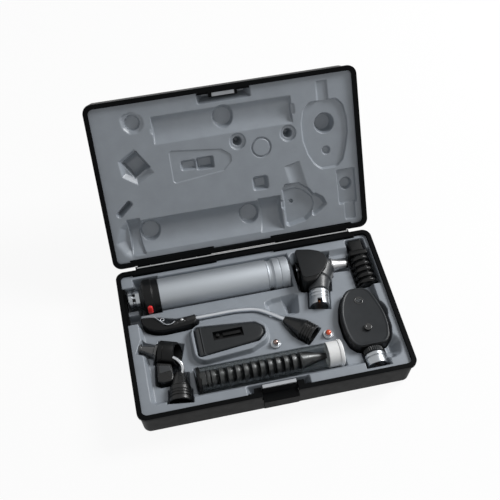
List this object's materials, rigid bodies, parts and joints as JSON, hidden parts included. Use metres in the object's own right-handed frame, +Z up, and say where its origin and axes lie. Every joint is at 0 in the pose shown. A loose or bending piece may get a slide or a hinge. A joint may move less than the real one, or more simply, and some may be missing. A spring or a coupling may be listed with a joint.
{
  "type": "otoscope carry case",
  "caption": "Hinged two-part hard case with moulded recesses holding a battery handle, otoscope, ophthalmoscope and throat and operating heads.",
  "frame": {"origin": "centre of the underside of the base half", "axes": "+X to the right along the hinge, +Y from the latch to the hinge, +Z up through the base"},
  "size_m": [0.24, 0.2634, 0.1548],
  "materials": {
    "black_abs": "black injection-moulded ABS, satin gloss",
    "tray_base": "thermoformed slate grey sheet, fine flock",
    "tray_lid": "thermoformed slate grey sheet, fine flock",
    "chrome": "polished chrome plate",
    "satin_steel": "fine satin plated tube",
    "steel_pin": "drawn steel wire",
    "grey_bar": "grooved satin aluminium",
    "black_plastic": "black moulded plastic, fine satin",
    "charcoal": "charcoal moulded plastic, fine satin",
    "red_button": "red moulded push button",
    "copper": "copper-coloured contact pin",
    "cell_steel": "printed steel jacket",
    "clear_tube": "clear moulded polystyrene",
    "lens_glass": "ground magnifying lens",
    "white_cap": "white moulded polyethylene",
    "grey_disc": "grey moulded tip",
    "orange_base": "orange-red lamp base resin"
  },
  "bodies": {
    "case": {"base_shell": "black_abs", "base_tray": "tray_base", "hinge_pin": "steel_pin", "latch_pin": "steel_pin"},
    "lid": {"lid_shell": "black_abs", "lid_tray": "tray_lid", "lid_catch_bar": "grey_bar"},
    "latch": {"latch_flap": "black_abs", "latch_hook_bar": "grey_bar"},
    "battery_handle": {"handle_tube": "satin_steel", "handle_shoulder": "charcoal", "bayonet_coupling": "chrome", "handle_contact": "copper", "rheostat_core": "black_plastic", "battery_cells": "cell_steel", "battery_spring": "steel_pin"},
    "rheostat": {"rheostat_ring": "black_plastic"},
    "button": {"switch_button": "red_button"},
    "end_cap": {"handle_end_cap": "satin_steel"},
    "otoscope_head": {"otoscope_housing": "black_plastic", "otoscope_face_plate": "charcoal", "otoscope_lens_pivot": "chrome", "otoscope_socket": "chrome", "otoscope_contact": "copper"},
    "otoscope_magnifier": {"otoscope_lens": "lens_glass", "otoscope_lens_frame": "black_plastic"},
    "otoscope_tip": {"otoscope_speculum": "satin_steel"},
    "ophthalmoscope": {"ophthalmoscope_back_shell": "black_plastic", "ophthalmoscope_face": "charcoal", "ophthalmoscope_window": "lens_glass", "ophthalmoscope_window_ring": "black_plastic", "ophthalmoscope_socket": "chrome", "ophthalmoscope_contact": "copper", "ophthalmoscope_collar": "black_plastic"},
    "diopter_wheel": {"lens_wheel": "black_plastic"},
    "aperture_dial": {"aperture_knob": "black_plastic"},
    "throat_lamp": {"throat_tube": "chrome", "throat_lamp_socket": "black_plastic", "blade_holder": "black_plastic", "blade_clip": "chrome", "clip_screw": "satin_steel"},
    "operating_head": {"operating_barrel": "black_plastic", "operating_bracket": "charcoal", "operating_light_tube": "chrome", "operating_socket": "black_plastic", "operating_speculum": "grey_disc", "operating_taper": "black_plastic"},
    "focus_ring": {"operating_scale_ring": "black_plastic"},
    "specula_dispenser": {"specula_tube": "clear_tube", "specula_tube_foot": "black_plastic", "disposable_specula": "black_plastic"},
    "dispenser_cap": {"tube_cap": "white_cap"},
    "specula_set": {"reusable_specula": "black_plastic", "specula_holder": "charcoal"},
    "lamp_holder": {"lamp_box": "charcoal", "lamp_box_insert": "black_plastic"},
    "spare_lamp_a": {"spare_lamp_a_bulb": "chrome", "spare_lamp_a_sleeve": "chrome"},
    "spare_lamp_b": {"spare_lamp_b_bulb": "orange_base", "spare_lamp_b_sleeve": "chrome"}
  },
  "joints": [
    {"name": "lid_hinge", "type": "hinge", "parent": "case", "child": "lid", "pos_m": [0, 0.0758, 0.032], "axis": [-1, 0, 0], "range_deg": [-125, 0]},
    {"name": "latch_pivot", "type": "hinge", "parent": "case", "child": "latch", "pos_m": [0, -0.0709, 0.026], "axis": [1, 0, 0], "range_deg": [-12, 11]},
    {"name": "battery_handle_lift", "type": "slide", "parent": "case", "child": "battery_handle", "axis": [0, 0, 1], "range_m": [0, 0.06]},
    {"name": "rheostat_turn", "type": "hinge", "parent": "battery_handle", "child": "rheostat", "pos_m": [-0.0915, 0.0478, 0.024], "axis": [1, 0, 0], "range_deg": [-45, 0]},
    {"name": "button_press", "type": "slide", "parent": "rheostat", "child": "button", "axis": [0, 0.9763, -0.2164], "range_m": [0, 0.001], "stiffness_N_per_m": 400},
    {"name": "end_cap_screw", "type": "hinge", "parent": "battery_handle", "child": "end_cap", "pos_m": [0.025, 0.0478, 0.024], "axis": [1, 0, 0], "continuous": true},
    {"name": "otoscope_head_lift", "type": "slide", "parent": "case", "child": "otoscope_head", "axis": [0, 0, 1], "range_m": [0, 0.06]},
    {"name": "lens_swivel", "type": "hinge", "parent": "otoscope_head", "child": "otoscope_magnifier", "pos_m": [0.0432, 0.041, 0.0344], "axis": [1, 0, 0], "range_deg": [0, 75]},
    {"name": "speculum_twist", "type": "hinge", "parent": "otoscope_head", "child": "otoscope_tip", "pos_m": [0.0754, 0.0459, 0.024], "axis": [0.9976, -0.0698, 0], "range_deg": [-90, 90]},
    {"name": "ophthalmoscope_lift", "type": "slide", "parent": "case", "child": "ophthalmoscope", "axis": [0, 0, 1], "range_m": [0, 0.06]},
    {"name": "lens_wheel_turn", "type": "hinge", "parent": "ophthalmoscope", "child": "diopter_wheel", "pos_m": [0.097, -0.013, 0.0192], "axis": [0, 0, 1], "continuous": true},
    {"name": "aperture_turn", "type": "hinge", "parent": "ophthalmoscope", "child": "aperture_dial", "pos_m": [0.088, -0.0296, 0.0322], "axis": [0, 0, 1], "range_deg": [-150, 150]},
    {"name": "throat_lamp_lift", "type": "slide", "parent": "case", "child": "throat_lamp", "axis": [0, 0, 1], "range_m": [0, 0.06]},
    {"name": "operating_head_lift", "type": "slide", "parent": "case", "child": "operating_head", "axis": [0, 0, 1], "range_m": [0, 0.06]},
    {"name": "focus_ring_turn", "type": "hinge", "parent": "operating_head", "child": "focus_ring", "pos_m": [-0.094, -0.0105, 0.024], "axis": [0.9487, -0.3162, 0], "range_deg": [-120, 120]},
    {"name": "specula_dispenser_lift", "type": "slide", "parent": "case", "child": "specula_dispenser", "axis": [0, 0, 1], "range_m": [0, 0.06]},
    {"name": "tube_cap_turn", "type": "hinge", "parent": "specula_dispenser", "child": "dispenser_cap", "pos_m": [0.055, -0.0443, 0.024], "axis": [1, 0, 0], "continuous": true},
    {"name": "specula_set_lift", "type": "slide", "parent": "case", "child": "specula_set", "axis": [0, 0, 1], "range_m": [0, 0.06]},
    {"name": "lamp_holder_lift", "type": "slide", "parent": "case", "child": "lamp_holder", "axis": [0, 0, 1], "range_m": [0, 0.06]},
    {"name": "spare_lamp_a_lift", "type": "slide", "parent": "case", "child": "spare_lamp_a", "axis": [0, 0, 1], "range_m": [0, 0.06]},
    {"name": "spare_lamp_b_lift", "type": "slide", "parent": "case", "child": "spare_lamp_b", "axis": [0, 0, 1], "range_m": [0, 0.06]}
  ]
}
